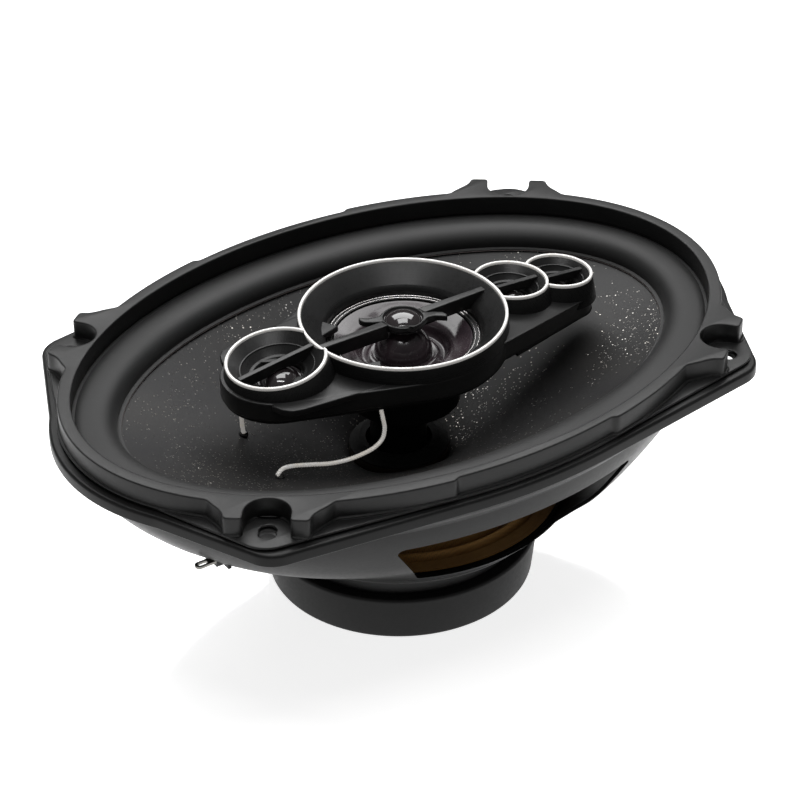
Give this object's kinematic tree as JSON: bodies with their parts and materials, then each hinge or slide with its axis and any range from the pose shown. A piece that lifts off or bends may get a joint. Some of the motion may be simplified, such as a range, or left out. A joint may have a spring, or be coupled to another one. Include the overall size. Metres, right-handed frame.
{
  "type": "coaxial car speaker",
  "caption": "Oval coaxial car speaker: steel basket on a round magnet, plastic rim, woofer cone and a bridge with a midrange and small tilted tweeter cups.",
  "frame": {"origin": "centre of the magnet's back face, on the surface the speaker stands on", "axes": "+Z out of the front of the speaker, +X along the oval's long axis towards the pair of small tweeters, +Y along the short axis"},
  "size_m": [0.231, 0.16, 0.0955],
  "materials": {
    "basket_coat": "satin black powder coat",
    "rim_plastic": "fine satin moulding",
    "zinc_steel": "zinc plated, satin",
    "ferrite": "ground grey ferrite",
    "boot_rubber": "satin moulded rubber",
    "board_laminate": "phenolic laminate",
    "tinned_metal": "tinned, satin",
    "tinsel_braid": "braided tinsel",
    "bridge_plastic": "satin moulding",
    "trim_chrome": "bright trim",
    "hub_plastic": "satin moulding",
    "capacitor_sleeve": "shrink sleeve",
    "mica_cone": "mica filled, sparkling",
    "surround_rubber": "matt butyl rubber",
    "spider_cloth": "resin treated cotton",
    "former_film": "polyimide film",
    "copper_wire": "enamelled copper wire",
    "felt": "black felt",
    "black_glue": "cured glue",
    "gloss_film": "glossy polyimide film"
  },
  "bodies": {
    "frame": {"basket": "basket_coat", "gasket_rim": "rim_plastic", "yoke": "zinc_steel", "magnet": "ferrite", "top_plate": "zinc_steel", "magnet_boot": "boot_rubber", "plate_rivets": "zinc_steel", "terminal_board": "board_laminate", "wide_terminal": "tinned_metal", "narrow_terminal": "tinned_metal", "terminal_rivets": "tinned_metal", "coil_leads": "tinsel_braid", "bridge_post": "bridge_plastic", "post_bolt": "zinc_steel", "mid_housing": "bridge_plastic", "bridge_cover": "bridge_plastic", "bridge_body": "bridge_plastic", "main_trim": "trim_chrome", "left_trim": "trim_chrome", "inner_trim": "trim_chrome", "outer_trim": "trim_chrome", "center_hub": "hub_plastic", "center_magnet": "zinc_steel", "left_bar": "hub_plastic", "inner_bar": "hub_plastic", "outer_bar": "hub_plastic", "tweeter_magnets": "zinc_steel", "crossover_capacitors": "capacitor_sleeve", "mid_yoke": "zinc_steel", "mid_magnet": "ferrite", "mid_ring": "trim_chrome", "front_lead": "tinsel_braid", "rear_lead": "tinsel_braid"},
    "woofer": {"cone": "mica_cone", "surround": "surround_rubber", "spider": "spider_cloth", "coil_former": "former_film", "voice_coil": "copper_wire", "dust_shield": "felt", "lead_glue": "black_glue"},
    "midrange": {"mid_diaphragm": "gloss_film", "mid_coil": "copper_wire"},
    "center_tweeter": {"center_dome": "gloss_film"},
    "left_tweeter": {"left_dome": "gloss_film"},
    "inner_tweeter": {"inner_dome": "gloss_film"},
    "outer_tweeter": {"outer_dome": "gloss_film"}
  },
  "joints": [
    {"name": "woofer_travel", "type": "slide", "parent": "frame", "child": "woofer", "axis": [0, 0, 1], "range_m": [-0.003, 0.003], "stiffness_N_per_m": 2000, "deforming": ["surround", "spider", "front_lead", "rear_lead", "coil_leads"]},
    {"name": "midrange_travel", "type": "slide", "parent": "frame", "child": "midrange", "axis": [0, 0, 1], "range_m": [-0.0005, 0.0005], "stiffness_N_per_m": 300},
    {"name": "center_tweeter_travel", "type": "slide", "parent": "frame", "child": "center_tweeter", "axis": [0, 0, 1], "range_m": [-0.0002, 0.0002], "stiffness_N_per_m": 15},
    {"name": "left_tweeter_travel", "type": "slide", "parent": "frame", "child": "left_tweeter", "axis": [-0.1184, 0, 0.993], "range_m": [-0.0002, 0.0002], "stiffness_N_per_m": 15},
    {"name": "inner_tweeter_travel", "type": "slide", "parent": "frame", "child": "inner_tweeter", "axis": [0.0715, 0, 0.9974], "range_m": [-0.0002, 0.0002], "stiffness_N_per_m": 15},
    {"name": "outer_tweeter_travel", "type": "slide", "parent": "frame", "child": "outer_tweeter", "axis": [0.0958, 0, 0.9954], "range_m": [-0.0002, 0.0002], "stiffness_N_per_m": 15}
  ]
}
